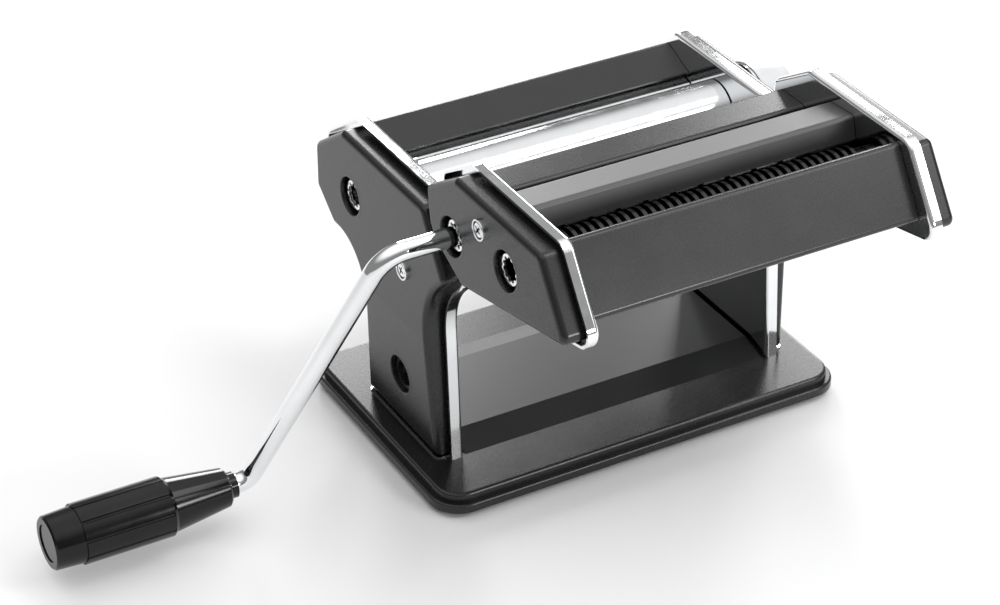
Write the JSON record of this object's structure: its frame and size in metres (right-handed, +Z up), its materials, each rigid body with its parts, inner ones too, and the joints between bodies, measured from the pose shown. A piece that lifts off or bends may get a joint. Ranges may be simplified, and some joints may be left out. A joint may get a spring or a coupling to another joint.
{
  "type": "roller machine with crank",
  "caption": "Hand-cranked sheet roller on a low base, with a gap-setting knob, a lift-off double cutter head and a bent crank with a turning grip.",
  "frame": {"origin": "on the ground under the middle of the base", "axes": "+X from the crank side to the knob side, -Y towards the cutter head, +Z up"},
  "size_m": [0.3708, 0.2206, 0.1656],
  "materials": {
    "black_lacquer": "satin",
    "chrome": "polished",
    "bright_steel": "satin",
    "gear_steel": "matte",
    "nylon": "matte",
    "pale_knob": "gloss",
    "black_grip": "gloss",
    "black_rubber": "matte"
  },
  "bodies": {
    "frame": {"base_plate": "chrome", "rubber_feet": "black_rubber", "bed_sheet_plate": "black_lacquer", "crank_side_plate": "chrome", "knob_side_plate": "chrome", "crank_side_cover": "black_lacquer", "knob_side_cover": "black_lacquer", "tie_rods": "bright_steel", "tie_nuts": "bright_steel", "rear_guide": "black_lacquer", "front_guide": "chrome", "roller_bushes": "nylon", "fixed_roller_scraper": "nylon", "movable_roller_scraper": "nylon", "knob_detent_plate": "bright_steel", "cover_screws": "bright_steel", "clamp_socket": "bright_steel", "head_rails": "bright_steel"},
    "fixed_roller": {"fixed_roller": "bright_steel", "fixed_roller_gear": "gear_steel"},
    "setting_shaft": {"setting_shaft": "bright_steel", "knob_screw": "bright_steel", "knob_spring": "bright_steel"},
    "roller_bearings": {"roller_bearings": "nylon"},
    "movable_roller": {"movable_roller": "bright_steel", "movable_roller_gear": "gear_steel"},
    "knob": {"adjusting_knob": "pale_knob", "knob_cap": "chrome", "knob_pin": "bright_steel"},
    "cutter_head": {"cutter_crank_plate": "chrome", "cutter_knob_plate": "chrome", "cutter_crank_cover": "black_lacquer", "cutter_knob_cover": "black_lacquer", "cutter_rear_cover": "black_lacquer", "cutter_ridge_cover": "black_lacquer", "cutter_front_cover": "black_lacquer", "cutter_tie_rods": "bright_steel", "cutter_tie_nuts": "bright_steel", "cutter_bushes": "nylon", "cutter_screws": "bright_steel", "head_hooks": "bright_steel", "wide_drive_comb": "nylon", "wide_driven_comb": "nylon", "narrow_drive_comb": "nylon", "narrow_driven_comb": "nylon"},
    "wide_drive": {"wide_drive_cutter": "bright_steel", "wide_drive_gear": "gear_steel"},
    "wide_driven": {"wide_driven_cutter": "bright_steel", "wide_driven_gear": "gear_steel"},
    "narrow_drive": {"narrow_drive_cutter": "bright_steel", "narrow_drive_gear": "gear_steel"},
    "narrow_driven": {"narrow_driven_cutter": "bright_steel", "narrow_driven_gear": "gear_steel"},
    "crank": {"crank_rod": "chrome", "crank_cross_pin": "chrome", "grip_neck": "black_grip"},
    "grip": {"crank_grip": "black_grip", "grip_cap": "black_grip"}
  },
  "joints": [
    {"name": "roller_turn", "type": "hinge", "parent": "frame", "child": "fixed_roller", "pos_m": [0, 0.0371, 0.1057], "axis": [1, 0, 0], "continuous": true},
    {"name": "gap_setting", "type": "hinge", "parent": "frame", "child": "setting_shaft", "pos_m": [0, 0.0094, 0.1145], "axis": [1, 0, 0], "range_deg": [-40, 60]},
    {"name": "bearing_turn", "type": "hinge", "parent": "setting_shaft", "child": "roller_bearings", "pos_m": [0, 0.00981, 0.11563], "axis": [1, 0, 0], "range_deg": [-60, 40]},
    {"name": "movable_roller_turn", "type": "hinge", "parent": "roller_bearings", "child": "movable_roller", "pos_m": [0, 0.00981, 0.11563], "axis": [1, 0, 0], "continuous": true},
    {"name": "knob_pull", "type": "slide", "parent": "setting_shaft", "child": "knob", "axis": [1, 0, 0], "range_m": [0, 0.004], "stiffness_N_per_m": 600, "springref_m": -0.002, "deforming": ["knob_spring"]},
    {"name": "head_lift", "type": "slide", "parent": "frame", "child": "cutter_head", "axis": [0, 0.5424, 0.8401], "range_m": [0, 0.06]},
    {"name": "wide_turn", "type": "hinge", "parent": "cutter_head", "child": "wide_drive", "pos_m": [0, -0.0547, 0.1339], "axis": [1, 0, 0], "continuous": true},
    {"name": "wide_driven_turn", "type": "hinge", "parent": "cutter_head", "child": "wide_driven", "pos_m": [0, -0.07377, 0.13744], "axis": [1, 0, 0], "continuous": true},
    {"name": "narrow_turn", "type": "hinge", "parent": "cutter_head", "child": "narrow_drive", "pos_m": [0, -0.0985, 0.1414], "axis": [1, 0, 0], "continuous": true},
    {"name": "narrow_driven_turn", "type": "hinge", "parent": "cutter_head", "child": "narrow_driven", "pos_m": [0, -0.11757, 0.14494], "axis": [1, 0, 0], "continuous": true},
    {"name": "crank_pull", "type": "slide", "parent": "wide_drive", "child": "crank", "axis": [-1, 0, 0], "range_m": [0, 0.03]},
    {"name": "grip_spin", "type": "hinge", "parent": "crank", "child": "grip", "pos_m": [-0.22, -0.0184, 0.0192], "axis": [1, 0, 0], "continuous": true}
  ],
  "couplings": [
    {"joint": "movable_roller_turn", "follows": "roller_turn", "ratio": -1},
    {"joint": "bearing_turn", "follows": "gap_setting", "ratio": -1},
    {"joint": "wide_driven_turn", "follows": "wide_turn", "ratio": -1},
    {"joint": "narrow_driven_turn", "follows": "narrow_turn", "ratio": -1}
  ]
}
